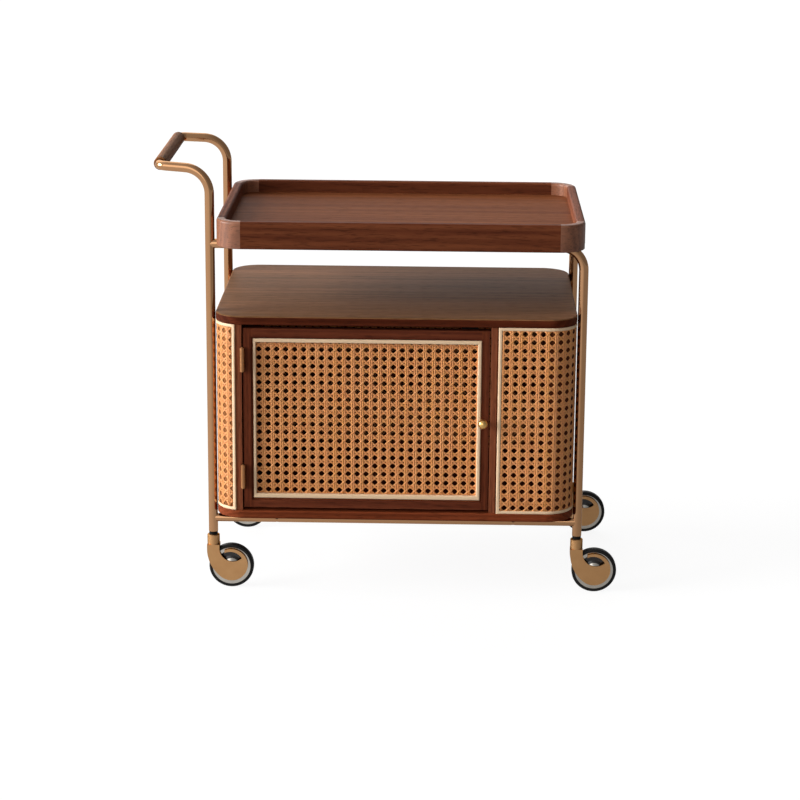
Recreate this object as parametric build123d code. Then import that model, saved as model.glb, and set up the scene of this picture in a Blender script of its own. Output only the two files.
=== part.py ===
"""Rolling storage cart: a rounded cabinet and a loose tray on a tube frame with four hooded casters.

Millimetres, +Z up, front towards -Y, push handle towards -X. The pieces are laid out about the
middle of the cabinet and then moved so that the origin lies under the middle of the whole cart.
"""
import os
from math import sqrt
from build123d import *

os.makedirs("parts", exist_ok=True)

# Cabinet
cabinet_length = 570.0
cabinet_width = 400.0
cabinet_height = 330.0
corner_radius = 45.0
top_board_thickness = 13.5
bottom_board_thickness = 13.0
board_edge_round = 2.0
face_recess = 4.0
stile_depth = 22.0
stile_width = 9.6
stile_setback = 33.7
centre_stile_width = 9.4
fixed_panel_width = 126.3
end_core_thickness = 9.0
end_cane_thickness = 1.2
back_cane_thickness = 1.2
end_bead_thickness = 1.6
end_bead_width = 5.0
end_bead_gap = 0.7
fixed_bead_gap = 2.3
end_skin_recess = 1.7
window_margin = 4.0
window_openings_across = 3
window_openings_down = 12
back_thickness = 9.0
back_recess = 8.0

# Door
door_thickness = 16.0
hinge_gap = 2.5
knob_side_gap = 1.6
door_gap_top = 6.5
door_gap_bottom = 5.0
door_hinge_stile = 15.2
door_knob_stile = 12.6
door_top_rail = 16.2
door_bottom_rail = 15.0
door_bead_hinge = 4.7
door_bead_knob = 6.2
door_bead_top = 6.4
door_bead_bottom = 7.4
door_bead_thickness = 5.0
door_bead_recess = 1.5
door_bead_round = 1.8
door_step = 3.0
door_step_depth = 3.5
door_cane_thickness = 2.0
cane_openings_across = 12
cane_openings_down = 9
cane_open_share = 0.45
knob_diameter = 15.5
knob_standoff = 8.3
knob_neck = 5.0
knob_from_stile = 2.8
knob_screw = 3.0

# Butt hinges
hinge_height = 38.0
hinge_inset_top = 30.0
hinge_inset_bottom = 33.0
knuckle_diameter = 7.5
knuckle_proud = 0.75
knuckle_gap = 0.3
leaf_thickness = 0.8
leaf_length = 12.0
leaf_clearance = 0.4
pin_diameter = 2.5
pin_clearance = 0.05
pin_head = 4.6
pin_head_height = 1.0
hinge_screw_diameter = 2.4
hinge_screw_head = 4.4
hinge_screw_length = 8.0

# Magnetic catch
catch_length = 26.0
catch_depth = 5.6
catch_height = 17.0
catch_plate_thickness = 1.0
catch_plate_height = 11.0
catch_gap = 0.3
catch_from_stile = 6.0

# Tube frame
tube_diameter = 15.0
tube_wall = 1.5
post_gap = 0.3
post_past_corner = 2.0
lower_rail_diameter = 13.5
cross_tube_diameter = 12.0
cross_tube_inset = 120.0
spacer_height = 5.25
spacer_diameter = 14.0
spacer_inset = 95.0
foot_below_rail = 22.5
tray_rail_rise = 107.0
hoop_radius = 36.0
handle_rise = 116.5
handle_reach = 78.6
handle_slope = 4.2
handle_toe_in = 9.6
handle_bend_radius = 40.0
grip_bend_radius = 13.0
grip_length = 262.0
grip_diameter = 21.0
grip_insert = 25.0
grip_rod_insert = 15.0
grip_bore_clearance = 0.05
board_screw_diameter = 4.0
board_screw_head = 7.0
board_screw_head_height = 2.0
board_screw_bite = 9.0
access_hole_diameter = 8.0

# Tray
tray_side_inset = 2.0
tray_post_gap = 3.3
tray_overhang = 0.7
tray_height = 43.0
tray_inside_depth = 20.0
tray_floor_thickness = 12.0
tray_rim_thickness = 15.0
tray_skirt_thickness = 8.0
tray_corner_radius = 40.0
tray_rim_round = 4.0
tray_skirt_round = 1.5
tray_rail_clearance = 0.6
pad_height = 2.5
pad_length = 30.0
pad_width = 10.0
pad_inset = 80.0

# Casters
wheel_radius = 36.0
tyre_width = 13.0
tyre_thickness = 5.3
tyre_round = 2.5
rim_show = 4.2
rim_ring_thickness = 5.5
rim_ring_width = 12.0
rim_web = 5.0
hub_width = 14.6
hub_radius = 8.0
hub_foot_radius = 17.0
hub_foot_width = 6.0
axle_diameter = 6.0
axle_clearance = 0.05
cheek_thickness = 2.5
cheek_spacing = 15.0
cheek_hole_depth = 1.7
trail = 29.0
barrel_diameter = 20.0
barrel_height = 16.0
barrel_chamfer = 1.0
barrel_floor = 2.0
wheel_clearance = 1.5
curl_height = 26.0
disc_lift = 2.5
eye_radius = 21.5
curl_band = 5.0
curl_shift_x = 1.5
curl_shift_z = 0.5
eye_limit = 11.0
hood_edge_round = 2.0
stem_diameter = 8.0
stem_clearance = 0.05
stem_flange = 12.0
stem_flange_height = 2.4
stem_plug_length = 18.0
collar_height = 5.5
collar_diameter = 14.0
collar_gap = 0.3

# Heights
barrel_top = wheel_radius * 2 + barrel_height
post_foot = barrel_top + collar_height
lower_rail_z = post_foot + foot_below_rail
cabinet_bottom = lower_rail_z + lower_rail_diameter / 2 + spacer_height
cabinet_top = cabinet_bottom + cabinet_height
inside_bottom = cabinet_bottom + bottom_board_thickness
inside_top = cabinet_top - top_board_thickness
tray_rail_z = cabinet_top + tray_rail_rise
tray_floor_bottom = tray_rail_z + tube_diameter / 2 + pad_height
tray_floor_top = tray_floor_bottom + tray_floor_thickness
tray_top = tray_floor_top + tray_inside_depth
tray_bottom = tray_top - tray_height
handle_z = tray_rail_z + handle_rise
grip_z = handle_z + handle_slope

# Plan positions
post_x = cabinet_length / 2 + post_gap + tube_diameter / 2
post_y = cabinet_width / 2 - corner_radius + post_past_corner
face_y = -cabinet_width / 2 + face_recess
stile_outer = cabinet_length / 2 - stile_setback
stile_inner = stile_outer - stile_width
door_left = -stile_inner + hinge_gap
fixed_panel_left = cabinet_length / 2 - fixed_panel_width
window_end = cabinet_length / 2 - corner_radius - window_margin
centre_stile_left = fixed_panel_left - centre_stile_width
door_right = centre_stile_left - knob_side_gap
door_bottom = inside_bottom + door_gap_bottom
door_top = inside_top - door_gap_top
door_back = face_y + door_thickness
hinge_x = door_left - hinge_gap / 2
hinge_y = face_y - knuckle_proud - knuckle_diameter / 2
knob_x = door_right - door_knob_stile + knob_from_stile
knob_y = face_y - knob_standoff - knob_diameter / 2
knob_z = (door_bottom + door_top) / 2
grip_x = -post_x - handle_reach
tray_left = -post_x + tube_diameter / 2 + tray_post_gap
tray_right = post_x + tray_overhang
tray_length = tray_right - tray_left
tray_width = cabinet_width - 2 * tray_side_inset
tray_x = (tray_left + tray_right) / 2

# The whole cart is moved so that its bounding box is centred on the origin.
x_low = grip_x - grip_diameter / 2
x_high = post_x + trail + wheel_radius
y_low = knob_y - knob_diameter / 2
y_high = cabinet_width / 2
to_origin = Pos(-(x_low + x_high) / 2, -(y_low + y_high) / 2, 0)


def save(name, solids):
    """Write one node; several solids go in as one group."""
    group = solids if isinstance(solids, (list, tuple)) else [solids]
    found = []
    for piece in group:
        found += [to_origin * solid for solid in piece.solids()]
    shape = found[0] if len(found) == 1 else Compound(children=found)
    export_step(shape, f"parts/{name}.step")


def span(x0, x1, y0, y1, z0, z1):
    """Box between two corners."""
    box = Box(abs(x1 - x0), abs(y1 - y0), abs(z1 - z0))
    return Pos((x0 + x1) / 2, (y0 + y1) / 2, (z0 + z1) / 2) * box


def rod(start, end, diameter):
    """Straight round bar from one point to another."""
    line = Line(start, end)
    return extrude(Plane(origin=start, z_dir=line % 0) * Circle(diameter / 2), line.length)


def tube(path, diameter, wall):
    """Round tube along straight runs and tangent bends."""
    section = Plane(origin=path @ 0, z_dir=path % 0)
    outer = sweep(section * Circle(diameter / 2), path)
    inner = sweep(section * Circle(diameter / 2 - wall), path)
    return outer - inner


def rear(shape):
    """Copy on the rear side."""
    return mirror(shape, about=Plane.XZ)


def plan_ring(inset, thickness, z0, z1):
    """Band that follows the rounded plan of the cabinet."""
    outside = RectangleRounded(cabinet_length - 2 * inset, cabinet_width - 2 * inset, corner_radius - inset)
    deep = inset + thickness
    inside = RectangleRounded(cabinet_length - 2 * deep, cabinet_width - 2 * deep, corner_radius - deep)
    return Pos(0, 0, z0) * extrude(outside - inside, z1 - z0)


def openings(x0, x1, z0, z1, across, down, y0, y1):
    """A plain grid of square openings through a sheet of cane, which stands for its fine holes."""
    step_x = (x1 - x0) / across
    step_z = (z1 - z0) / down
    half = cane_open_share * min(step_x, step_z) / 2
    holes = []
    for column in range(across):
        for row in range(down):
            x = x0 + (column + 0.5) * step_x
            z = z0 + (row + 0.5) * step_z
            holes.append(span(x - half, x + half, y0, y1, z - half, z + half))
    return holes


def end_zone(side, x_front, x_back, z0, z1):
    """The end of the cabinet past x_front on the front half and past x_back on the rear half."""
    far = side * (cabinet_length / 2 + 10)
    near = cabinet_width / 2 + 10
    return span(x_front, far, -near, 0, z0, z1) + span(x_back, far, 0, near, z0, z1)


# Handle posts: each rises from a front or rear caster, bends outwards and turns into the grip.
handle_path = FilletPolyline(
    (-post_x, -post_y, post_foot),
    (-post_x, -post_y, handle_z),
    (grip_x, -post_y + handle_toe_in, grip_z),
    (grip_x, -grip_length / 2 + grip_insert, grip_z),
    radius=[handle_bend_radius, grip_bend_radius],
)
handle_post = tube(handle_path, tube_diameter, tube_wall)
save("handle_post_front", handle_post)
save("handle_post_rear", rear(handle_post))

tube_bore = tube_diameter - 2 * tube_wall
rod_half = grip_length / 2 - grip_insert + grip_rod_insert
save("grip_rod", rod((grip_x, -rod_half, grip_z), (grip_x, rod_half, grip_z), tube_bore))

grip_start = (grip_x, -grip_length / 2, grip_z)
grip_end = (grip_x, grip_length / 2, grip_z)
grip = rod(grip_start, grip_end, grip_diameter)
grip = fillet(grip.edges().filter_by(GeomType.CIRCLE), 1.5)
grip -= rod(grip_start, grip_end, tube_diameter + 2 * grip_bore_clearance)
save("handle_grip", grip)

# Post hoops: right post, bend and tray rail in one tube that is coped onto the handle post.
hoop_path = FilletPolyline(
    (post_x, -post_y, post_foot),
    (post_x, -post_y, tray_rail_z),
    (-post_x, -post_y, tray_rail_z),
    radius=[hoop_radius],
)
cope = rod((-post_x, -post_y, post_foot), (-post_x, -post_y, grip_z), tube_diameter)
post_hoop = (tube(hoop_path, tube_diameter, tube_wall) - cope).solids().sort_by(SortBy.VOLUME)[-1]
save("post_hoop_front", post_hoop)
save("post_hoop_rear", rear(post_hoop))

# Lower rails carry the cabinet; each has two screws with an access hole below.
spacer_x = cabinet_length / 2 - spacer_inset
rail_line = Line((-post_x, -post_y, lower_rail_z), (post_x, -post_y, lower_rail_z))
lower_rail = tube(rail_line, lower_rail_diameter, tube_wall)
for sign in (-1, 1):
    lower_rail -= rod((sign * post_x, -post_y, post_foot), (sign * post_x, -post_y, cabinet_top), tube_diameter)
    hole = rod((sign * spacer_x, -post_y, lower_rail_z), (sign * spacer_x, -post_y, cabinet_bottom),
               board_screw_diameter)
    access = rod((sign * spacer_x, -post_y, lower_rail_z - lower_rail_diameter),
                 (sign * spacer_x, -post_y, lower_rail_z), access_hole_diameter)
    lower_rail -= hole + access
lower_rail = lower_rail.solids().sort_by(SortBy.VOLUME)[-1]
save("lower_rail_front", lower_rail)
save("lower_rail_rear", rear(lower_rail))

# Cross tubes between the front and rear rails.
cross_tubes = []
cross_x = cabinet_length / 2 - cross_tube_inset
for z, rail_diameter in ((tray_rail_z, tube_diameter), (lower_rail_z, lower_rail_diameter)):
    for sign in (-1, 1):
        line = Line((sign * cross_x, -post_y, z), (sign * cross_x, post_y, z))
        piece = tube(line, cross_tube_diameter, tube_wall)
        for y in (-post_y, post_y):
            piece -= rod((-post_x, y, z), (post_x, y, z), rail_diameter)
        cross_tubes.append(piece.solids().sort_by(SortBy.VOLUME)[-1])
save("cross_tubes", cross_tubes)

# Rubber pads: four under the tray floor and four spacers under the cabinet.
pads = []
pad_x = cabinet_length / 2 - pad_inset
for sign in (-1, 1):
    for y in (-post_y, post_y):
        pad = span(sign * pad_x - pad_length / 2, sign * pad_x + pad_length / 2, y - pad_width / 2,
                   y + pad_width / 2, tray_rail_z, tray_floor_bottom)
        pad -= rod((-post_x, y, tray_rail_z), (post_x, y, tray_rail_z), tube_diameter)
        pads.append(pad)
        spacer = rod((sign * spacer_x, y, lower_rail_z), (sign * spacer_x, y, cabinet_bottom), spacer_diameter)
        spacer -= rod((-post_x, y, lower_rail_z), (post_x, y, lower_rail_z), lower_rail_diameter)
        spacer -= rod((sign * spacer_x, y, lower_rail_z), (sign * spacer_x, y, cabinet_bottom),
                      board_screw_diameter)
        pads.append(spacer)
save("rubber_pads", pads)


def board(z0, thickness):
    """Rounded board with eased edges."""
    plate = Pos(0, 0, z0) * extrude(RectangleRounded(cabinet_length, cabinet_width, corner_radius), thickness)
    long_edges = plate.faces().sort_by(Axis.Z)[0].edges() + plate.faces().sort_by(Axis.Z)[-1].edges()
    return fillet(long_edges, board_edge_round)


# Cabinet boards
save("top_board", board(inside_top, top_board_thickness))
bottom_board = board(cabinet_bottom, bottom_board_thickness)
cabinet_screws = []
for sign in (-1, 1):
    for y in (-post_y, post_y):
        head_top = lower_rail_z + lower_rail_diameter / 2 - tube_wall - board_screw_head_height
        tip = cabinet_bottom + board_screw_bite
        bolt = rod((sign * spacer_x, y, head_top), (sign * spacer_x, y, tip), board_screw_diameter)
        bottom_board -= bolt
        head = rod((sign * spacer_x, y, head_top - board_screw_head_height), (sign * spacer_x, y, head_top),
                   board_screw_head)
        cabinet_screws.append(bolt + head)
save("bottom_board", bottom_board)

# Front and rear stiles
front_depth = (face_y, face_y + stile_depth)
stile_left = span(-stile_outer, -stile_inner, *front_depth, inside_bottom, inside_top)
save("stile_centre", span(centre_stile_left, fixed_panel_left, *front_depth, inside_bottom, inside_top))
rear_stiles = []
for sign in (-1, 1):
    rear_stiles.append(span(sign * stile_outer, sign * stile_inner, -face_y, -face_y - stile_depth,
                            inside_bottom, inside_top))
save("rear_stiles", rear_stiles)
back_y = cabinet_width / 2 - back_recess
back_face = back_y - back_thickness
save("back_panel", span(-stile_inner, stile_inner, back_face, back_y, inside_bottom, inside_top))
save("back_cane", span(-stile_inner, stile_inner, back_face - back_cane_thickness, back_face, inside_bottom,
                       inside_top))

# Curved ends: a moulded core, a cane facing and a raised bead round the facing. The fixed panel beside
# the door is open behind its cane up to where the bend starts.
ends = (
    ("left", -1, -stile_outer, end_bead_gap, end_bead_width),
    ("right", 1, fixed_panel_left, fixed_bead_gap, end_bead_width + 0.6),
)
end_beads = []
for name, side, front_x, bead_gap, bead_width in ends:
    back_x = side * stile_outer
    core = plan_ring(end_skin_recess, end_core_thickness, inside_bottom, inside_top)
    core &= end_zone(side, front_x, back_x, inside_bottom, inside_top)
    bead_front = front_x + side * bead_gap
    bead_back = back_x + side * end_bead_gap
    field_front = bead_front + side * bead_width
    field_back = bead_back + side * end_bead_width
    field = end_zone(side, field_front, field_back, inside_bottom + end_bead_width, inside_top - end_bead_width)
    bead = plan_ring(end_skin_recess - end_bead_thickness, end_bead_thickness, inside_bottom, inside_top)
    bead &= end_zone(side, bead_front, bead_back, inside_bottom, inside_top)
    end_beads.append(bead - field)
    facing = plan_ring(end_skin_recess - end_cane_thickness, end_cane_thickness, inside_bottom, inside_top) & field
    if side > 0:
        low, high = inside_bottom + end_bead_width, inside_top - end_bead_width
        core -= span(field_front, window_end, -cabinet_width / 2, 0, low, high)
        facing -= openings(field_front, window_end, low, high, window_openings_across, window_openings_down,
                           -cabinet_width / 2, 0)
    save(f"end_panel_{name}", core)
    save(f"end_cane_{name}", facing)
save("end_beads", end_beads)

# Door frame, stepped down towards the bead
door_in_left = door_left + door_hinge_stile
door_in_right = door_right - door_knob_stile
door_in_top = door_top - door_top_rail
door_in_bottom = door_bottom + door_bottom_rail
door_depth = (face_y, door_back)
step = span(door_in_left - door_step, door_in_right + door_step, face_y - 1, face_y + door_step_depth,
            door_in_bottom - door_step, door_in_top + door_step)
door_stile_hinge = span(door_left, door_in_left, *door_depth, door_bottom, door_top) - step
door_stile_knob = span(door_in_right, door_right, *door_depth, door_bottom, door_top) - step
save("door_rail_top", span(door_in_left, door_in_right, *door_depth, door_in_top, door_top) - step)
save("door_rail_bottom", span(door_in_left, door_in_right, *door_depth, door_bottom, door_in_bottom) - step)

# Bead and cane of the door
bead_y = face_y + door_bead_recess
cane_y = bead_y + door_bead_thickness
bead = span(door_in_left, door_in_right, bead_y, cane_y, door_in_bottom, door_in_top)
bead -= span(door_in_left + door_bead_hinge, door_in_right - door_bead_knob, bead_y - 1, cane_y + 1,
             door_in_bottom + door_bead_bottom, door_in_top - door_bead_top)
bead = fillet(bead.faces().sort_by(Axis.Y)[0].edges(), door_bead_round)
save("door_bead", bead)
door_sheet = span(door_in_left, door_in_right, cane_y, cane_y + door_cane_thickness, door_in_bottom, door_in_top)
door_field = (door_in_left + door_bead_hinge, door_in_right - door_bead_knob, door_in_bottom + door_bead_bottom,
              door_in_top - door_bead_top)
door_sheet -= openings(*door_field, cane_openings_across, cane_openings_down, cane_y - 1,
                       cane_y + door_cane_thickness + 1)
save("door_cane", door_sheet)

# Ball knob on a short neck, held by a screw from inside the door
knob = Pos(knob_x, knob_y, knob_z) * Sphere(knob_diameter / 2)
knob += rod((knob_x, knob_y, knob_z), (knob_x, face_y + door_step_depth, knob_z), knob_neck)
knob -= door_stile_knob
knob_bolt = rod((knob_x, face_y - knob_standoff, knob_z), (knob_x, door_back, knob_z), knob_screw)
knob_head = rod((knob_x, door_back, knob_z), (knob_x, door_back + 2, knob_z), knob_screw * 2)
save("door_knob", knob - knob_bolt)
door_stile_knob -= knob_bolt
save("door_stile_knob", door_stile_knob)
door_screws = [knob_bolt + knob_head]

# Butt hinges: five knuckles each, three on the fixed leaf and two on the door leaf
fixed_leaves = []
door_leaves = []
hinge_pins = []
knuckle_length = (hinge_height - 4 * knuckle_gap) / 5
leaf_front = hinge_y + knuckle_diameter / 2 + leaf_clearance
leaf_back = leaf_front + leaf_length
for hinge_z in (door_bottom + hinge_inset_bottom, door_top - hinge_inset_top - hinge_height):
    plates = (
        (-stile_inner, -stile_inner + leaf_thickness),
        (door_left - leaf_thickness, door_left),
    )
    leaves = [span(*plate, leaf_front, leaf_back, hinge_z, hinge_z + hinge_height) for plate in plates]
    for index in range(5):
        low = hinge_z + index * (knuckle_length + knuckle_gap)
        high = low + knuckle_length
        owner = index % 2
        clearance = pin_clearance if owner == 1 else 0
        barrel = rod((hinge_x, hinge_y, low), (hinge_x, hinge_y, high), knuckle_diameter)
        barrel += span(*plates[owner], hinge_y, leaf_front, low, high)
        barrel -= rod((hinge_x, hinge_y, low), (hinge_x, hinge_y, high), pin_diameter + 2 * clearance)
        leaves[owner] += barrel
    for owner, side in ((0, -1), (1, 1)):
        outside = plates[owner][0] if owner == 0 else plates[owner][1]
        face = outside - side * leaf_thickness
        for share in (0.25, 0.75):
            middle = (face, (leaf_front + leaf_back) / 2, hinge_z + share * hinge_height)
            plane = Plane(origin=middle, z_dir=(side, 0, 0))
            head = extrude(plane * Circle(hinge_screw_head / 2), leaf_thickness, taper=45)
            screw = head + extrude(plane * Circle(hinge_screw_diameter / 2), hinge_screw_length)
            leaves[owner] -= screw
            if owner == 0:
                stile_left -= screw
                cabinet_screws.append(screw)
            else:
                door_stile_hinge -= screw
                door_screws.append(screw)
    fixed_leaves.append(leaves[0])
    door_leaves.append(leaves[1])
    pin = rod((hinge_x, hinge_y, hinge_z), (hinge_x, hinge_y, hinge_z + hinge_height), pin_diameter)
    pin += rod((hinge_x, hinge_y, hinge_z - pin_head_height), (hinge_x, hinge_y, hinge_z), pin_head)
    pin += rod((hinge_x, hinge_y, hinge_z + hinge_height),
               (hinge_x, hinge_y, hinge_z + hinge_height + pin_head_height), pin_head)
    hinge_pins.append(pin)
save("hinge_leaves_fixed", fixed_leaves)
save("hinge_leaves_door", door_leaves)
save("hinge_pins", hinge_pins)
save("stile_left", stile_left)
save("door_stile_hinge", door_stile_hinge)
save("cabinet_screws", cabinet_screws)
save("door_screws", door_screws)

# Magnetic catch under the top board and its plate on the door
catch_right = door_in_right - catch_from_stile
plate_back = door_back + catch_plate_thickness
catch_y = plate_back + catch_gap
save("magnetic_catch", span(catch_right - catch_length, catch_right, catch_y, catch_y + catch_depth,
                            inside_top - catch_height, inside_top))
save("catch_plate", span(catch_right - catch_length, catch_right, door_back, plate_back,
                         door_top - catch_plate_height, door_top))

# Tray: a floor in the rebate of a rim that hangs over the rails and is notched for them
rim = RectangleRounded(tray_length, tray_width, tray_corner_radius)
rim_hole = RectangleRounded(tray_length - 2 * tray_rim_thickness, tray_width - 2 * tray_rim_thickness,
                            tray_corner_radius - tray_rim_thickness)
skirt_hole = RectangleRounded(tray_length - 2 * tray_skirt_thickness, tray_width - 2 * tray_skirt_thickness,
                              tray_corner_radius - tray_skirt_thickness)
frame = Pos(tray_x, 0, tray_bottom) * extrude(rim - rim_hole, tray_height)
frame = fillet(frame.faces().sort_by(Axis.Z)[-1].edges(), tray_rim_round)
frame = fillet(frame.faces().sort_by(Axis.Z)[0].outer_wire().edges(), tray_skirt_round)
frame -= Pos(tray_x, 0, tray_bottom) * extrude(skirt_hole, tray_floor_top - tray_bottom)
notch_top = tray_rail_z + tube_diameter / 2 + tray_rail_clearance
notch_half = tube_diameter / 2 + tray_rail_clearance
for y in (-post_y, post_y):
    frame -= span(tray_left - 1, tray_right + 1, y - notch_half, y + notch_half, tray_bottom - 1, notch_top)
save("tray_floor", Pos(tray_x, 0, tray_floor_bottom) * extrude(skirt_hole, tray_floor_thickness))
corner_x = tray_length / 2 - tray_corner_radius
corner_y = tray_width / 2 - tray_corner_radius
zone_z = (tray_bottom - 1, tray_top + 1)
outer_x = tray_length / 2 + 1
outer_y = tray_width / 2 + 1
rims = {
    "front": span(-corner_x, corner_x, -outer_y, 0, *zone_z),
    "rear": span(-corner_x, corner_x, 0, outer_y, *zone_z),
    "left": span(-outer_x, 0, -corner_y, corner_y, *zone_z),
    "right": span(0, outer_x, -corner_y, corner_y, *zone_z),
}
for name, zone in rims.items():
    save(f"tray_rim_{name}", frame & (Pos(tray_x, 0, 0) * zone))
tray_corners = []
for sx in (-1, 1):
    for sy in (-1, 1):
        zone = span(sx * corner_x, sx * outer_x, sy * corner_y, sy * outer_y, *zone_z)
        tray_corners.append(frame & (Pos(tray_x, 0, 0) * zone))
save("tray_corners", tray_corners)

# Caster, drawn about its axle with the swivel axis towards -X; the hood's disc sits a little above the axle
rim_radius = wheel_radius - tyre_thickness
disc_radius = rim_radius - rim_show
arm_left = -trail - barrel_diameter / 2
arm_right = -trail + barrel_diameter / 2
arm_top = wheel_radius
half_width = cheek_spacing / 2 + cheek_thickness


def axial(radius, half_length):
    """Disc about the axle."""
    return rod((0, -half_length, 0), (0, half_length, 0), 2 * radius)


def slab(sketch):
    """A side view of the hood, drawn in X and Z, at its full width."""
    return extrude(Plane.XZ * sketch, half_width, both=True)


# The outer edge runs down the arm, along an arc that meets the disc and round the disc.
offset = -arm_left - disc_radius
back_x = (curl_height**2 - offset**2) / (2 * offset)
back_radius = back_x - arm_left
meet = -disc_radius / (back_radius - disc_radius)
join = (back_x * meet, curl_height * meet)
toward = Vector(join[0] - back_x, join[1] - curl_height) + Vector(-back_radius, 0)
middle = Vector(back_x, curl_height) + toward.normalized() * back_radius
arm = make_face([
    Line((arm_right, curl_height), (arm_right, arm_top - disc_lift)),
    Line((arm_right, arm_top - disc_lift), (arm_left, arm_top - disc_lift)),
    Line((arm_left, arm_top - disc_lift), (arm_left, curl_height)),
    ThreePointArc((arm_left, curl_height), (middle.X, middle.Y), join),
    Line(join, (0, 0)),
    Line((0, 0), (arm_right, curl_height)),
])
eye_x = arm_right + eye_radius
eye_z = curl_height + 1
curl_radius = disc_radius - curl_band
outline = arm + Circle(disc_radius)
eye = Pos(eye_x, eye_z) * Circle(eye_radius)
curl = Pos(-curl_shift_x, curl_shift_z) * Circle(curl_radius)
side = Pos(-eye_limit - wheel_radius, eye_z) * Rectangle(2 * wheel_radius, 4 * wheel_radius)
outline -= eye & (curl + side)
hood = slab(outline)
# Its smooth outer edge is rounded: the arm's line, its arc and the disc, but not the scroll's tip.
for face in (hood.faces().sort_by(Axis.Y)[0], hood.faces().sort_by(Axis.Y)[-1]):
    outer = face.outer_wire().edges()
    smooth = outer.filter_by(lambda edge: edge.center().X < arm_left + 5 or edge.length > 2 * disc_radius)
    below = smooth.filter_by(lambda edge: edge.center().Z < arm_top - disc_lift - 0.01)
    hood = fillet(below, hood_edge_round)
hood = Pos(0, 0, disc_lift) * hood
barrel_base = wheel_radius - 2
barrel_end = wheel_radius + barrel_height
barrel = rod((-trail, 0, barrel_base), (-trail, 0, barrel_end), barrel_diameter)
barrel = chamfer(barrel.edges().filter_by(GeomType.CIRCLE).sort_by(Axis.Z)[-1], barrel_chamfer)
hood += barrel
hood -= axial(wheel_radius + wheel_clearance, cheek_spacing / 2)
cavity_floor = wheel_radius + wheel_clearance + barrel_floor
flange_base = cavity_floor + stem_clearance
cavity_top = flange_base + stem_flange_height + collar_gap
hood -= rod((-trail, 0, cavity_floor), (-trail, 0, cavity_top), stem_flange + 2 * collar_gap)
hood -= rod((-trail, 0, cavity_floor), (-trail, 0, barrel_end), stem_diameter + 2 * stem_clearance)
hood -= axial(axle_diameter / 2, cheek_spacing / 2 + cheek_hole_depth)

axle = axial(axle_diameter / 2, cheek_spacing / 2 + cheek_hole_depth)

wheel = axial(rim_radius, rim_ring_width / 2) - axial(rim_radius - rim_ring_thickness, rim_ring_width / 2)
wheel += axial(rim_radius - rim_ring_thickness / 2, rim_web / 2)
for sign in (-1, 1):
    foot = Plane(origin=(0, 0, 0), z_dir=(0, sign, 0))
    cone = loft([
        foot.offset(hub_foot_width / 2 - 1) * Circle(hub_foot_radius),
        foot.offset(hub_width / 2) * Circle(hub_radius),
    ])
    wheel += cone
wheel -= axial(axle_diameter / 2 + axle_clearance, hub_width)

tyre = axial(wheel_radius, tyre_width / 2)
tyre = fillet(tyre.edges().filter_by(GeomType.CIRCLE), tyre_round)
tyre -= axial(rim_radius, tyre_width)

# Stems and collars belong to the posts
stem_base = wheel_radius + flange_base
stem = rod((0, 0, stem_base), (0, 0, stem_base + stem_flange_height), stem_flange)
stem += rod((0, 0, stem_base), (0, 0, post_foot), stem_diameter)
stem += rod((0, 0, post_foot), (0, 0, post_foot + stem_plug_length), tube_bore)
collar = rod((0, 0, barrel_top + collar_gap), (0, 0, post_foot), collar_diameter)
collar -= rod((0, 0, barrel_top), (0, 0, post_foot), stem_diameter)

stems = []
collars = []
for end, x in (("left", -post_x), ("right", post_x)):
    for row, y in (("front", -post_y), ("rear", post_y)):
        stems.append(Pos(x, y, 0) * stem)
        collars.append(Pos(x, y, 0) * collar)
        place = Pos(x + trail, y, wheel_radius)
        save(f"caster_hood_{row}_{end}", place * hood)
        save(f"caster_axle_{row}_{end}", place * axle)
        save(f"caster_rim_{row}_{end}", place * wheel)
        save(f"caster_tyre_{row}_{end}", place * tyre)
save("caster_stems", stems)
save("caster_collars", collars)
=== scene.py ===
"""Looks of the rolling storage cart. Metres, +Z up, front towards -Y, push handle towards -X."""
from math import acos, asin, cos, pi, sin

import bpy
from mathutils import Matrix, Vector


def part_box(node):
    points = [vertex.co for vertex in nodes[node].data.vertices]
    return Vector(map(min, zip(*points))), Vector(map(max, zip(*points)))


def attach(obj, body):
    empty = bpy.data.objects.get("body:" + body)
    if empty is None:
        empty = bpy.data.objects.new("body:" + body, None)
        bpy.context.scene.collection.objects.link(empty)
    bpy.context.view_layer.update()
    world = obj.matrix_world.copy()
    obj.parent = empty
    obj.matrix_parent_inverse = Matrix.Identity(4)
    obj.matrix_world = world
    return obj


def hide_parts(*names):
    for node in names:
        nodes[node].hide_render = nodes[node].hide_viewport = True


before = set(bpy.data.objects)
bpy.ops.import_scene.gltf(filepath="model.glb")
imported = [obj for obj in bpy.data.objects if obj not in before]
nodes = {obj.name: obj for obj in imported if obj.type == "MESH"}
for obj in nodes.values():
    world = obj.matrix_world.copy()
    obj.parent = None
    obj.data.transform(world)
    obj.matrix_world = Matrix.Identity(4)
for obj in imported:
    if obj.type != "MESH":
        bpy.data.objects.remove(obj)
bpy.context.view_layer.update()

scene = bpy.context.scene


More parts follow.
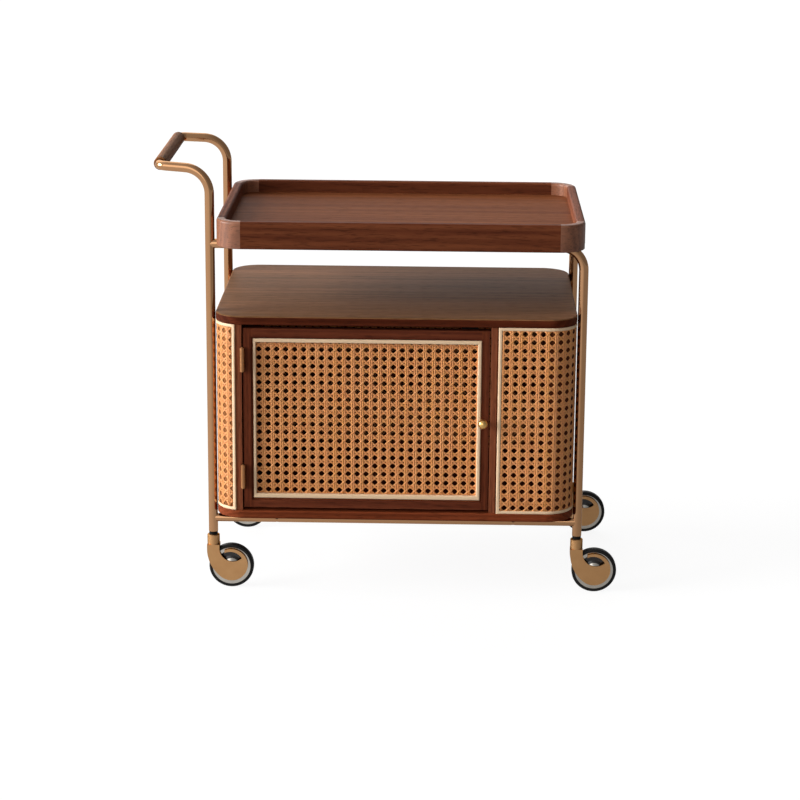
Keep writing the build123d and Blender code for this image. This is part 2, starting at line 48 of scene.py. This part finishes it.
# ---------------------------------------------------------------- Camera
# A long lens stands 3.9 m in front of the cart at 1.3 m height and looks down 15 degrees, as the
# photograph does: the top boards show narrow, and the posts stand almost parallel.
camera_place = Vector((0.08955, -3.8937, 1.312))
camera_yaw = -0.018905
camera_pitch = 0.260020
camera_roll = 0.007722
level_ahead = Vector((sin(camera_yaw), cos(camera_yaw), 0))
level_right = Vector((cos(camera_yaw), -sin(camera_yaw), 0))
ahead = level_ahead * cos(camera_pitch) - Vector((0, 0, sin(camera_pitch)))
above = level_ahead * sin(camera_pitch) + Vector((0, 0, cos(camera_pitch)))
right = level_right * cos(camera_roll) + above * sin(camera_roll)
top = above * cos(camera_roll) - level_right * sin(camera_roll)
lens = bpy.data.cameras.new("studio_lens")
lens.sensor_width = 36
lens.lens = 109.8
lens.clip_end = 60
camera = bpy.data.objects.new("studio_camera", lens)
camera.matrix_world = Matrix((
    (right.x, top.x, -ahead.x, camera_place.x),
    (right.y, top.y, -ahead.y, camera_place.y),
    (right.z, top.z, -ahead.z, camera_place.z),
    (0, 0, 0, 1),
))
scene.collection.objects.link(camera)
scene.camera = camera


# ---------------------------------------------------------------- Studio floor and light
# A matt paper sweep lies under the cart. The main light is low and soft and comes from the left. A
# wide one from behind reaches in over the shelf, and a weak one from the front lights the inside.
def linear(code):
    """Linear colour of an sRGB hex value."""
    values = [int(code[place:place + 2], 16) / 255 for place in (1, 3, 5)]
    return [v / 12.92 if v <= 0.04045 else ((v + 0.055) / 1.055)**2.4 for v in values] + [1]


def add(material, kind, inputs, stops=None, **settings):
    """Adds one node. An input given as an output socket is linked, and any other is set."""
    node = material.node_tree.nodes.new(kind)
    for name, value in settings.items():
        setattr(node, name, value)
    for name, value in inputs.items():
        if isinstance(value, bpy.types.NodeSocket):
            material.node_tree.links.new(value, node.inputs[name])
        else:
            node.inputs[name].default_value = value
    for index, (place, colour) in enumerate(stops or []):
        ramp = node.color_ramp.elements
        stop = ramp[index] if index < 2 else ramp.new(place)
        stop.position = place
        stop.color = colour
    return node


def calc(material, operation, first, second, **settings):
    """One step of arithmetic on two values."""
    return add(material, "ShaderNodeMath", {0: first, 1: second}, operation=operation, **settings).outputs[0]


def scaled(material, value, low, high, start=0.0, stop=1.0, **settings):
    """A value moved from the range start to stop into the range low to high."""
    return add(material, "ShaderNodeMapRange", {"Value": value, "From Min": start, "From Max": stop,
                                                "To Min": low, "To Max": high}, **settings).outputs[0]


def noise(material, coords, scale, detail, roughness=0.5):
    """Cloudy noise, with its scale in patches per metre."""
    return add(material, "ShaderNodeTexNoise", {"Vector": coords, "Scale": scale, "Detail": detail,
                                                "Roughness": roughness}).outputs[0]


def blend(material, share, first, second, mode="MIX"):
    """A colour between two, each an sRGB hex value or another node's output."""
    ends = [linear(end) if isinstance(end, str) else end for end in (first, second)]
    return add(material, "ShaderNodeMix", {0: share, 6: ends[0], 7: ends[1]}, data_type="RGBA",
               blend_type=mode).outputs[2]


def relief(material, height, strength, depth):
    """A bumped normal."""
    return add(material, "ShaderNodeBump", {"Height": height, "Strength": strength,
                                            "Distance": depth}).outputs[0]


def surface(name, **constants):
    """A material whose shader has these constants, its shader, and the coordinates of the object."""
    material = bpy.data.materials.new(name)
    material.use_nodes = True
    shader = material.node_tree.nodes["Principled BSDF"]
    for key, value in constants.items():
        shader.inputs[key.replace("_", " ")].default_value = value
    return material, shader, add(material, "ShaderNodeTexCoord", {}).outputs["Object"]


def wire(material, shader, **outputs):
    """Links these outputs to the shader's sockets of the same names."""
    for key, output in outputs.items():
        material.node_tree.links.new(output, shader.inputs[key.replace("_", " ")])


def coat(material, *names):
    """Gives the material to CAD nodes or new pieces."""
    for name in names:
        mesh = (nodes[name] if isinstance(name, str) else name).data
        mesh.materials.clear()
        mesh.materials.append(material)


def white_seen(material, coords, start, stop, dimmest):
    """How white it is seen: 1 by the camera, and in reflections less and less along X."""
    ray = add(material, "ShaderNodeLightPath", {}).outputs
    across = add(material, "ShaderNodeSeparateXYZ", {"Vector": coords}).outputs["X"]
    mirrored = calc(material, "MAXIMUM", ray["Is Glossy Ray"], ray["Is Transmission Ray"])
    falloff = scaled(material, across, 1.0, dimmest, start, stop, interpolation_type="SMOOTHSTEP")
    dimmed = calc(material, "MULTIPLY", mirrored, falloff)
    return calc(material, "MAXIMUM", ray["Is Camera Ray"], dimmed)


scene.view_settings.view_transform = "Standard"

# Matt paper: plain white where it is seen, with a share of its real grey left in, so that the
# background is white and the cart still has a soft shadow. It is brighter towards the main light.
floor_reach = 30
white_share = 0.45
white_strength = 2.0
paper, shader, coords = surface("matt_paper_sweep", Roughness=0.9)
grain = add(paper, "ShaderNodeTexNoise", {"Scale": 3.0, "Detail": 2.0}).outputs[0]
wire(paper, shader, Base_Color=blend(paper, grain, "#868686", "#8a8a8a"))
share = calc(paper, "MULTIPLY", white_seen(paper, coords, -0.9, 0.9, 0.3), white_share)
glow = add(paper, "ShaderNodeEmission", {"Color": linear("#ffffff"), "Strength": white_strength}).outputs[0]
both = add(paper, "ShaderNodeMixShader", {0: share, 1: shader.outputs[0], 2: glow}).outputs[0]
paper.node_tree.links.new(both, paper.node_tree.nodes["Material Output"].inputs["Surface"])
floor_mesh = bpy.data.meshes.new("studio_floor")
floor_mesh.from_pydata([(-floor_reach, -floor_reach, 0), (floor_reach, -floor_reach, 0),
                        (floor_reach, floor_reach, 0), (-floor_reach, floor_reach, 0)], [], [(0, 1, 2, 3)])
floor = bpy.data.objects.new("studio_floor", floor_mesh)
scene.collection.objects.link(floor)
coat(paper, floor)

# The room lights the cart weakly, and the camera and the metal see it as white, brighter to the left.
room_light = 0.10
world = bpy.data.worlds.new("studio_room")
world.use_nodes = True
coords = add(world, "ShaderNodeTexCoord", {}).outputs["Generated"]
strength = calc(world, "MAXIMUM", white_seen(world, coords, -0.8, 0.8, 0.3), room_light)
room = world.node_tree.nodes["Background"]
room.inputs["Color"].default_value = linear("#ffffff")
world.node_tree.links.new(strength, room.inputs["Strength"])
scene.world = world

for name, strength, spread, direction in (
    ("light_left", 5.3, 40, (1.0, 0.20, -0.30)),
    ("light_behind", 1.0, 60, (0.35, -0.80, -0.65)),
    ("light_front", 0.8, 50, (0.40, 1.0, -0.30)),
):
    lamp = bpy.data.lights.new(name, "SUN")
    lamp.energy = strength
    lamp.angle = spread * pi / 180
    holder = bpy.data.objects.new(name, lamp)
    holder.rotation_euler = Vector(direction).to_track_quat("-Z", "Y").to_euler()
    scene.collection.objects.link(holder)


# ---------------------------------------------------------------- Tube frame
# Bent steel tubes of 15 mm carry everything. They are polished and plated in antique bronze, and
# are welded and ground smooth where the rails meet the posts.
# Plated bronze under clear lacquer: champagne-brown metal, paler at its edges, with white highlights.
bronze, shader, coords = surface("polished_bronze_plate", Metallic=1.0, Specular_Tint=linear("#d8b890"),
                                 Coat_Weight=0.6, Coat_Roughness=0.06)
wire(bronze, shader, Base_Color=blend(bronze, noise(bronze, coords, 14.0, 3.0), "#a67850", "#b2845a"),
     Roughness=scaled(bronze, noise(bronze, coords, 160.0, 2.0), 0.08, 0.14))
coat(bronze, "handle_post_front", "handle_post_rear", "post_hoop_front", "post_hoop_rear",
     "lower_rail_front", "lower_rail_rear", "cross_tubes")


# ---------------------------------------------------------------- Push handle
# A turned walnut grip of 21 mm covers the joint between the two handle posts. Its end grain
# shows at both ends, and a steel rod runs through it inside the tubes.
def walnut(name, along, pith, early, late, ring=0.006, shine=0.5, contrast=1.0, level=0.04, shaded_edge=None):
    """Walnut with rings round a pith line along X, Y or Z. A shaded edge has its own darker colours up to
    its height: painted shade.
    """
    material, shader, coords = surface(name, Specular_IOR_Level=level)
    squeeze = [0.07 if axis == along else 1.0 for axis in "XYZ"]
    grain = add(material, "ShaderNodeMapping", {
        "Vector": coords, "Location": [-p * s for p, s in zip(pith, squeeze)], "Scale": squeeze}).outputs[0]
    # The growth rings are drawn 6 mm apart or more on the boards, coarser than in real walnut, so
    # that they show.
    rings = add(material, "ShaderNodeTexWave", {
        "Vector": grain, "Scale": 2 * pi / (20 * ring), "Distortion": 7.0, "Detail": 3.0,
        "Detail Scale": 0.25, "Detail Roughness": 0.6}, wave_type="RINGS", rings_direction=along)
    figure = noise(material, grain, 28.0, 5.0, 0.6)
    # Pores are 0.2 mm wide in the real wood and drawn about 0.8 mm wide and 12 mm long here.
    pores = noise(material, grain, 620.0, 2.0)
    streak = calc(material, "MULTIPLY", rings.outputs["Fac"], 0.35 * contrast)
    spread = scaled(material, figure, 0.0, 0.75 * contrast, 0.3, 0.7)
    share = calc(material, "ADD", streak, spread, use_clamp=True)
    body = blend(material, share, early, late)
    # Painted shade: below the given height the wood takes darker colours, for the edge faces.
    if shaded_edge:
        height, shaded_edge_early, shaded_edge_late = shaded_edge
        up = add(material, "ShaderNodeSeparateXYZ", {"Vector": coords}).outputs["Z"]
        above = calc(material, "GREATER_THAN", up, height)
        body = blend(material, above, blend(material, share, shaded_edge_early, shaded_edge_late), body)
    pore = scaled(material, pores, 0.62, 1.0, 0.34, 0.46)
    wire(material, shader, Base_Color=blend(material, 1.0, body, pore, "MULTIPLY"),
         Roughness=scaled(material, pores, shine + 0.12, shine - 0.08),
         Normal=relief(material, pore, 0.12, 0.0002))
    return material


# The pith runs 5 mm beside the grip's own axis, so that the rings at its ends are off centre.
grip_low, grip_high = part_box("handle_grip")
grip_middle = (grip_low + grip_high) / 2
grip_pith = (grip_middle.x + 0.004, 0, grip_middle.z - 0.003)
coat(walnut("turned_walnut", "Y", grip_pith, "#9a6840", "#6c4024", ring=0.0022), "handle_grip")

# Zinc-plated steel: cool grey metal with a satin face, for rods, screws and axles.
corners = ("front_left", "front_right", "rear_left", "rear_right")
steel, shader, coords = surface("zinc_plated_steel", Metallic=1.0)
cloud = noise(steel, coords, 220.0, 3.0)
wire(steel, shader, Base_Color=blend(steel, cloud, "#8f8c86", "#aaa69e"),
     Roughness=scaled(steel, cloud, 0.28, 0.45))
coat(steel, "grip_rod", "caster_stems", "cabinet_screws", "door_screws", "catch_plate",
     *[f"caster_axle_{corner}" for corner in corners])


# ---------------------------------------------------------------- Casters
# Each caster is a cast hood in satin bronze over a chromed wheel with a black rubber tyre. Its
# stem turns in the hood's barrel, under a black plastic collar on the post.
# Satin bronze casting: softly blurred highlights and a fine grain from tumbling.
cast, shader, coords = surface("satin_bronze_casting", Metallic=1.0, Specular_Tint=linear("#b08a62"))
# The tumbled grain is about 0.1 mm in the metal and drawn at 0.6 mm.
speck = noise(cast, coords, 1600.0, 1.0)
wire(cast, shader, Base_Color=blend(cast, noise(cast, coords, 45.0, 4.0), "#a87c52", "#bb9164"),
     Roughness=scaled(cast, speck, 0.34, 0.46), Normal=relief(cast, speck, 0.10, 0.0002))
coat(cast, *[f"caster_hood_{corner}" for corner in corners])

# Chrome: grey mirror on the rolled ring and on the hub's dome; the web between them is painted near black,
# as painted shade inside the hood's eye.
# Both radii are shares of the wheel's width.
ring_from, dome_to = 0.415, 0.2
chrome, shader, coords = surface("chrome_with_shaded_web")
swirl = noise(chrome, coords, 60.0, 4.0)
centred = add(chrome, "ShaderNodeMapping", {
    "Vector": add(chrome, "ShaderNodeTexCoord", {}).outputs["Generated"], "Location": [-0.5, 0, -0.5],
    "Scale": [1, 0, 1]}).outputs[0]
radius = add(chrome, "ShaderNodeVectorMath", {0: centred}, operation="LENGTH").outputs["Value"]
chrome_vs_web_shade = calc(chrome, "MAXIMUM", calc(chrome, "GREATER_THAN", radius, ring_from),
              calc(chrome, "LESS_THAN", radius, dome_to))
# Painted shade: the near-black web colour stands for the shade inside the hood.
wire(chrome, shader, Metallic=chrome_vs_web_shade,
     Base_Color=blend(chrome, chrome_vs_web_shade, "#1a120e", blend(chrome, swirl, "#a8a29a", "#c4beb4")),
     Roughness=scaled(chrome, swirl, 0.10, 0.22))
coat(chrome, *[f"caster_rim_{corner}" for corner in corners])

# Moulded rubber: near-black, broad soft sheen, slightly dusty.
rubber, shader, coords = surface("moulded_tyre_rubber", Specular_IOR_Level=0.15)
dust = noise(rubber, coords, 180.0, 5.0)
wire(rubber, shader, Base_Color=blend(rubber, dust, "#0b0a0a", "#1d1b1a"),
     Roughness=scaled(rubber, dust, 0.42, 0.62), Normal=relief(rubber, dust, 0.15, 0.0003))
coat(rubber, "rubber_pads", *[f"caster_tyre_{corner}" for corner in corners])

# Moulded nylon: black plastic with a fine spark-eroded grain.
nylon, shader, coords = surface("black_moulded_nylon", Roughness=0.5, Specular_IOR_Level=0.1)
speck = noise(nylon, coords, 1200.0, 2.0)
wire(nylon, shader, Base_Color=blend(nylon, speck, "#080605", "#140f0c"),
     Normal=relief(nylon, speck, 0.2, 0.0002))
coat(nylon, "caster_collars", "magnetic_catch")


# ---------------------------------------------------------------- Cabinet boards
# The top and bottom boards are veneered walnut with rounded corners and eased edges. They sit on
# stiles at the front and rear and on a plain back board.
# The shelf's edge faces, up to 1.5 mm below the top, are painted darker and redder than its top: painted
# shade on the edge.
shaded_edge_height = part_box("top_board")[1].z - 0.0015
coat(walnut("walnut_veneer_board", "X", (0, 0.05, 0.30), "#9a6947", "#6f4d2f", ring=0.008, level=0.05,
            shaded_edge=(shaded_edge_height, "#6a301a", "#421808")), "top_board")
coat(walnut("walnut_base_board", "X", (0, -0.25, 0.02), "#93482a", "#602a14", ring=0.007),
     "bottom_board", "back_panel")
coat(walnut("walnut_stile", "Z", (0.04, -0.40, 0), "#a35e3f", "#713b25"),
     "stile_left", "stile_centre", "rear_stiles")
# The left core is painted lighter, as painted light from the main lamp on the left, and the right core
# darker, as painted shade: the holes in the left cane look mid-brown, those on the right dark.
core_pith = (0.02, 0.01, 0)
coat(walnut("shaded_bent_ply", "Z", core_pith, "#5e2e16", "#401c0c", ring=0.012, shine=0.6),
     "end_panel_right")
# Painted light: the same ply as the right core, drawn paler on the lit left end.
coat(walnut("lit_bent_ply", "Z", core_pith, "#a0683e", "#7c4a2a", ring=0.012, shine=0.6),
     "end_panel_left")


# ---------------------------------------------------------------- Curved ends
# Sheets of woven cane are bent round both ends of the cabinet and glued to the cores. A pale
# rattan bead with mitred corners covers the sheets' cut edges.
cabinet_low, cabinet_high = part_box("top_board")
cabinet_middle = (cabinet_low + cabinet_high) / 2
corner_radius = 0.045
# The weave: the holes' spacing, the strands' sizes, half the distance between the two strands of a
# pair, and how far the upright pairs lie above the middle of the sheet and the level ones below it.
pitch_across, pitch_up = 0.0141, 0.0135
pair_width, slant_width, strand_thick = 0.0028, 0.0027, 0.00038
pair_offset = 0.00155
pair_height = 0.00024
edge_margin = 0.0008
# The slanting strands: which way they rise, their middle height, and how far they wave over and under.
slants = ((-1, 0.00003, 0.0003), (1, 0.0, -0.0006))
upright_steps, level_step = 12, 0.0045
# A strand is flat below and crowned above, in shares of its width and thickness.
strand_section = ((-0.5, -0.5), (0.5, -0.5), (0.30, 0.5), (-0.30, 0.5))
# Across a bead, in shares of its width and height.
bead_section = ((0.0, 0.0), (0.02, 0.55), (0.10, 0.84), (0.28, 1.0), (0.72, 1.0), (0.90, 0.84), (0.98, 0.55),
                (1.0, 0.0))
bead_step, bead_side_steps = 0.004, 6


def round_end(side, front_x, back_x, inset, bottom):
    """The distance round an end at that inset, and where each point of a sheet bent round it lies."""
    radius = corner_radius - inset
    centre_x = (cabinet_high.x - cabinet_low.x) / 2 - corner_radius
    centre_y = (cabinet_high.y - cabinet_low.y) / 2 - corner_radius
    quarter = radius * pi / 2
    start = front_x - centre_x if front_x < centre_x else radius * asin((front_x - centre_x) / radius)
    bend_back = quarter + 2 * centre_y
    stop = bend_back + radius * acos((back_x - centre_x) / radius)

    def place(u, v, rise):
        along = start + u
        reach = radius + rise
        if along < 0:
            x, y = centre_x + along, -centre_y - reach
        elif along < quarter:
            x = centre_x + reach * sin(along / radius)
            y = -centre_y - reach * cos(along / radius)
        elif along < bend_back:
            x, y = centre_x + reach, along - quarter - centre_y
        else:
            turn = (along - bend_back) / radius
            x, y = centre_x + reach * cos(turn), centre_y + reach * sin(turn)
        return Vector((cabinet_middle.x + side * x, cabinet_middle.y + y, bottom + v))

    return stop - start, place


def mesh_piece(name, shape, material, body):
    """A closed mesh piece of these points and faces that rides on a body."""
    points, faces = shape
    mesh = bpy.data.meshes.new(name)
    mesh.from_pydata(points, [], faces)
    mesh.validate()
    for polygon in mesh.polygons:
        polygon.use_smooth = True
    piece = bpy.data.objects.new(name, mesh)
    scene.collection.objects.link(piece)
    coat(material, piece)
    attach(piece, body)
    return piece


def strand(points, faces, path, place, width, thick, turned):
    """Adds one strip of cane along a path of (u, v, rise)."""
    first = len(points)
    run = Vector(path[-1][:2]) - Vector(path[0][:2])
    across = Vector((run.y, -run.x)).normalized() * width
    for u, v, rise in path:
        for a, b in strand_section:
            points.append(place(u + a * across.x, v + a * across.y, rise + b * thick))
    for row in range(len(path) - 1):
        for edge in range(4):
            low = first + 4 * row
            after = (edge + 1) % 4
            face = (low + edge, low + after, low + 4 + after, low + 4 + edge)
            faces.append(face[::-1] if turned else face)
    start = tuple(range(first, first + 4))
    end = tuple(range(first + 4 * len(path) - 4, first + 4 * len(path)))
    faces.append(start if turned else start[::-1])
    faces.append(end[::-1] if turned else end)


def weave(size, hole, place, scale=1.0, fine=3, turned=False):
    """Six-way cane over size (u, v), with one hole's centre at hole. The slants bend over and under."""
    wide, high = size
    points, faces = [], []
    half_across, half_up = pitch_across / 2, pitch_up / 2
    count = int(wide / pitch_across + high / pitch_up) + 3
    thick = strand_thick * scale
    level_steps = max(2, int(wide / level_step))
    for k in range(-count, count + 1):
        for shift in (-pair_offset, pair_offset):
            u = hole[0] + half_across + k * pitch_across + shift
            if edge_margin < u < wide - edge_margin:
                path = [(u, high * j / upright_steps, pair_height * scale) for j in range(upright_steps + 1)]
                strand(points, faces, path, place, pair_width, thick, turned)
            v = hole[1] + half_up + k * pitch_up + shift
            if edge_margin < v < high - edge_margin:
                path = [(wide * j / level_steps, v, -pair_height * scale) for j in range(level_steps + 1)]
                strand(points, faces, path, place, pair_width, thick, turned)
    for slope, base, lift in slants:
        for k in range(-count, count + 1):
            path = []
            for j in range(-2 * fine * count, 2 * fine * count):
                u = hole[0] + j * half_across / fine
                v = hole[1] - slope * half_up + k * pitch_up + slope * j * half_up / fine
                if 0 <= u <= wide and 0 <= v <= high:
                    path.append((u, v, (base + lift * cos(pi * j / fine)) * scale))
            if len(path) > 2:
                strand(points, faces, path, place, slant_width, thick, turned)
    return points, faces


def bead_frame(size, start, rest, high, place, turned):
    """A mitred frame with a rounded top round a sheet's edges: start wide at the front, rest elsewhere."""
    wide, tall = size
    steps = max(1, int(wide / bead_step))
    points, faces = [], []
    for share, rise in bead_section:
        left, far, low, up = share * start, wide - share * rest, share * rest, tall - share * rest
        loop = [(left + (far - left) * k / steps, low) for k in range(steps)]
        loop += [(far, low + (up - low) * k / bead_side_steps) for k in range(bead_side_steps)]
        loop += [(far - (far - left) * k / steps, up) for k in range(steps)]
        loop += [(left, up - (up - low) * k / bead_side_steps) for k in range(bead_side_steps)]
        points += [place(u, v, rise * high) for u, v in loop]
    count = 2 * steps + 2 * bead_side_steps
    for ring in range(len(bead_section)):
        after = (ring + 1) % len(bead_section)
        for k in range(count):
            nxt = (k + 1) % count
            face = (ring * count + k, ring * count + nxt, after * count + nxt, after * count + k)
            faces.append(face[::-1] if turned else face)
    return points, faces


# Split rattan skin: golden tan strips, each its own shade, with a soft waxy shine and fine fibres.
cane, shader, coords = surface("woven_rattan_skin", Specular_IOR_Level=0.4)
each = add(cane, "ShaderNodeNewGeometry", {}).outputs["Random Per Island"]
hue = add(cane, "ShaderNodeValToRGB", {"Fac": each}, stops=[
    (0.0, linear("#e89856")), (0.3, linear("#db8e54")), (0.55, linear("#eba264")), (0.8, linear("#de944e")),
    (1.0, linear("#e69a64"))]).outputs[0]
fibre = noise(cane, coords, 700.0, 3.0)
streak = scaled(cane, fibre, 0.82, 1.06, 0.3, 0.7)
wire(cane, shader, Base_Color=blend(cane, 1.0, hue, streak, "MULTIPLY"),
     Roughness=scaled(cane, fibre, 0.38, 0.6))

# Peeled rattan core: pale cream, faint lengthwise fibres, satin.
rattan, shader, coords = surface("peeled_rattan_bead", Roughness=0.5, Specular_IOR_Level=0.3)
fibre = noise(rattan, coords, 320.0, 4.0)
wire(rattan, shader, Base_Color=blend(rattan, fibre, "#e8c298", "#f3d6b4"),
     Normal=relief(rattan, fibre, 0.15, 0.0003))

# The thin sheets on the ends and the back are woven flatter than the door's, and start below the bead.
thin_scale = 0.62
bead_width, bead_inset, bead_height = 0.005, 0.0017, 0.0016
skin_inset, skin_margin = 0.0009, 0.0036
ends_back_x = 0.2520
core_low, core_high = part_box("end_panel_left")
tall = core_high.z - core_low.z
for name, side, front_x, front_bead, (hole_in, hole_down) in (
    ("left", -1, 0.2520, 0.005, (0.0149, 0.0085)),
    ("right", 1, 0.1610, 0.0056, (0.0076, 0.0063)),
):
    turned = side < 0
    length, place = round_end(side, front_x, ends_back_x, bead_inset, core_low.z)
    shape = bead_frame((length, tall), front_bead, bead_width, bead_height, place, not turned)
    mesh_piece(f"end_bead_{name}", shape, rattan, "cart")
    length, place = round_end(side, front_x + front_bead, ends_back_x + bead_width, skin_inset,
                              core_low.z + skin_margin)
    high = tall - 2 * skin_margin
    shape = weave((length, high), (hole_in, high - hole_down), place, thin_scale, turned=turned)
    piece = mesh_piece(f"end_weave_{name}", shape, cane, "cart")
    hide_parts(f"end_cane_{name}")
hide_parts("end_beads")


# ---------------------------------------------------------------- Back wall
# The same cane covers the inside of the back board, where it shows through the door's holes as a
# second, shifted pattern.
def flat_sheet(name):
    """The size of a flat CAD sheet that faces the front, and where each point of it lies."""
    low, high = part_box(name)
    middle_y = (low.y + high.y) / 2

    def place(u, v, rise):
        return Vector((low.x + u, middle_y - rise, low.z + v))

    return (high.x - low.x, high.z - low.z), place


size, place = flat_sheet("back_cane")
shape = weave(size, (0.0060, 0.0067), place, thin_scale, fine=2)
piece = mesh_piece("back_weave", shape, cane, "cart")
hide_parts("back_cane")


# ---------------------------------------------------------------- Door
# The door is a mitred walnut frame round a sheet of open cane held by a rattan bead. It hangs on
# two stamped butt hinges and has a turned ball knob.
coat(walnut("walnut_door_rail", "X", (0, -0.35, 0.20), "#80422a", "#502315"),
     "door_rail_top", "door_rail_bottom")
coat(walnut("walnut_door_stile", "Z", (0.30, -0.28, 0), "#743a23", "#4c2012"),
     "door_stile_hinge", "door_stile_knob")
coat(rattan, "door_bead")
# The first hole is 4.4 mm and 5.6 mm in from the bead, which covers 4.7 mm and 7.4 mm of the sheet.
size, place = flat_sheet("door_cane")
shape = weave(size, (0.0047 + 0.0044, 0.0074 + 0.0056), place)
piece = mesh_piece("door_weave", shape, cane, "door")
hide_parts("door_cane")

# Turned brass: warm yellow metal with fine rings from the lathe, 0.8 mm apart.
lathe_ring = 0.0008
brass, shader, coords = surface("turned_brass", Metallic=1.0)
knob_low, knob_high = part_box("door_knob")
to_centre = [-(knob_low.x + knob_high.x) / 2, 0, -(knob_low.z + knob_high.z) / 2]
centred = add(brass, "ShaderNodeMapping", {"Vector": coords, "Location": to_centre}).outputs[0]
rings = add(brass, "ShaderNodeTexWave", {
    "Vector": centred, "Scale": 2 * pi / (20 * lathe_ring), "Distortion": 0.4},
    wave_type="RINGS", rings_direction="Y").outputs["Fac"]
wire(brass, shader, Base_Color=blend(brass, rings, "#c89c58", "#d8b070"),
     Roughness=scaled(brass, rings, 0.22, 0.32))
coat(brass, "door_knob")

# Stamped bronze: brown satin metal with faint lines from the rolling mill.
stamped, shader, coords = surface("stamped_bronze", Metallic=1.0, Specular_Tint=linear("#7a4e30"))
stretch = add(stamped, "ShaderNodeMapping", {"Vector": coords, "Scale": [1.0, 1.0, 0.08]}).outputs[0]
lines = noise(stamped, stretch, 900.0, 2.0)
wire(stamped, shader, Base_Color=blend(stamped, lines, "#8a5c3c", "#a87a52"),
     Roughness=scaled(stamped, lines, 0.32, 0.5))
coat(stamped, "hinge_leaves_fixed", "hinge_leaves_door", "hinge_pins")


# ---------------------------------------------------------------- Tray
# The loose tray has a veneered walnut floor between solid rims, with a bent block let in at each
# rounded corner. Its grain runs with each rim.
coat(walnut("walnut_tray_floor", "X", (0, 0.10, 0.35), "#8e5432", "#6d3b22", ring=0.009, contrast=0.9,
            level=0.02), "tray_floor")
coat(walnut("walnut_tray_rim", "X", (0, -0.40, 0.48), "#82482c", "#4e2315", ring=0.007),
     "tray_rim_front", "tray_rim_rear")
coat(walnut("walnut_tray_side", "Y", (0.5, 0, 0.48), "#8e553c", "#5c3020", ring=0.007),
     "tray_rim_left", "tray_rim_right")
coat(walnut("walnut_tray_corner", "X", (0, 0.5, 0.62), "#9e6547", "#714530", ring=0.007, shine=0.42,
            level=0.4), "tray_corners")
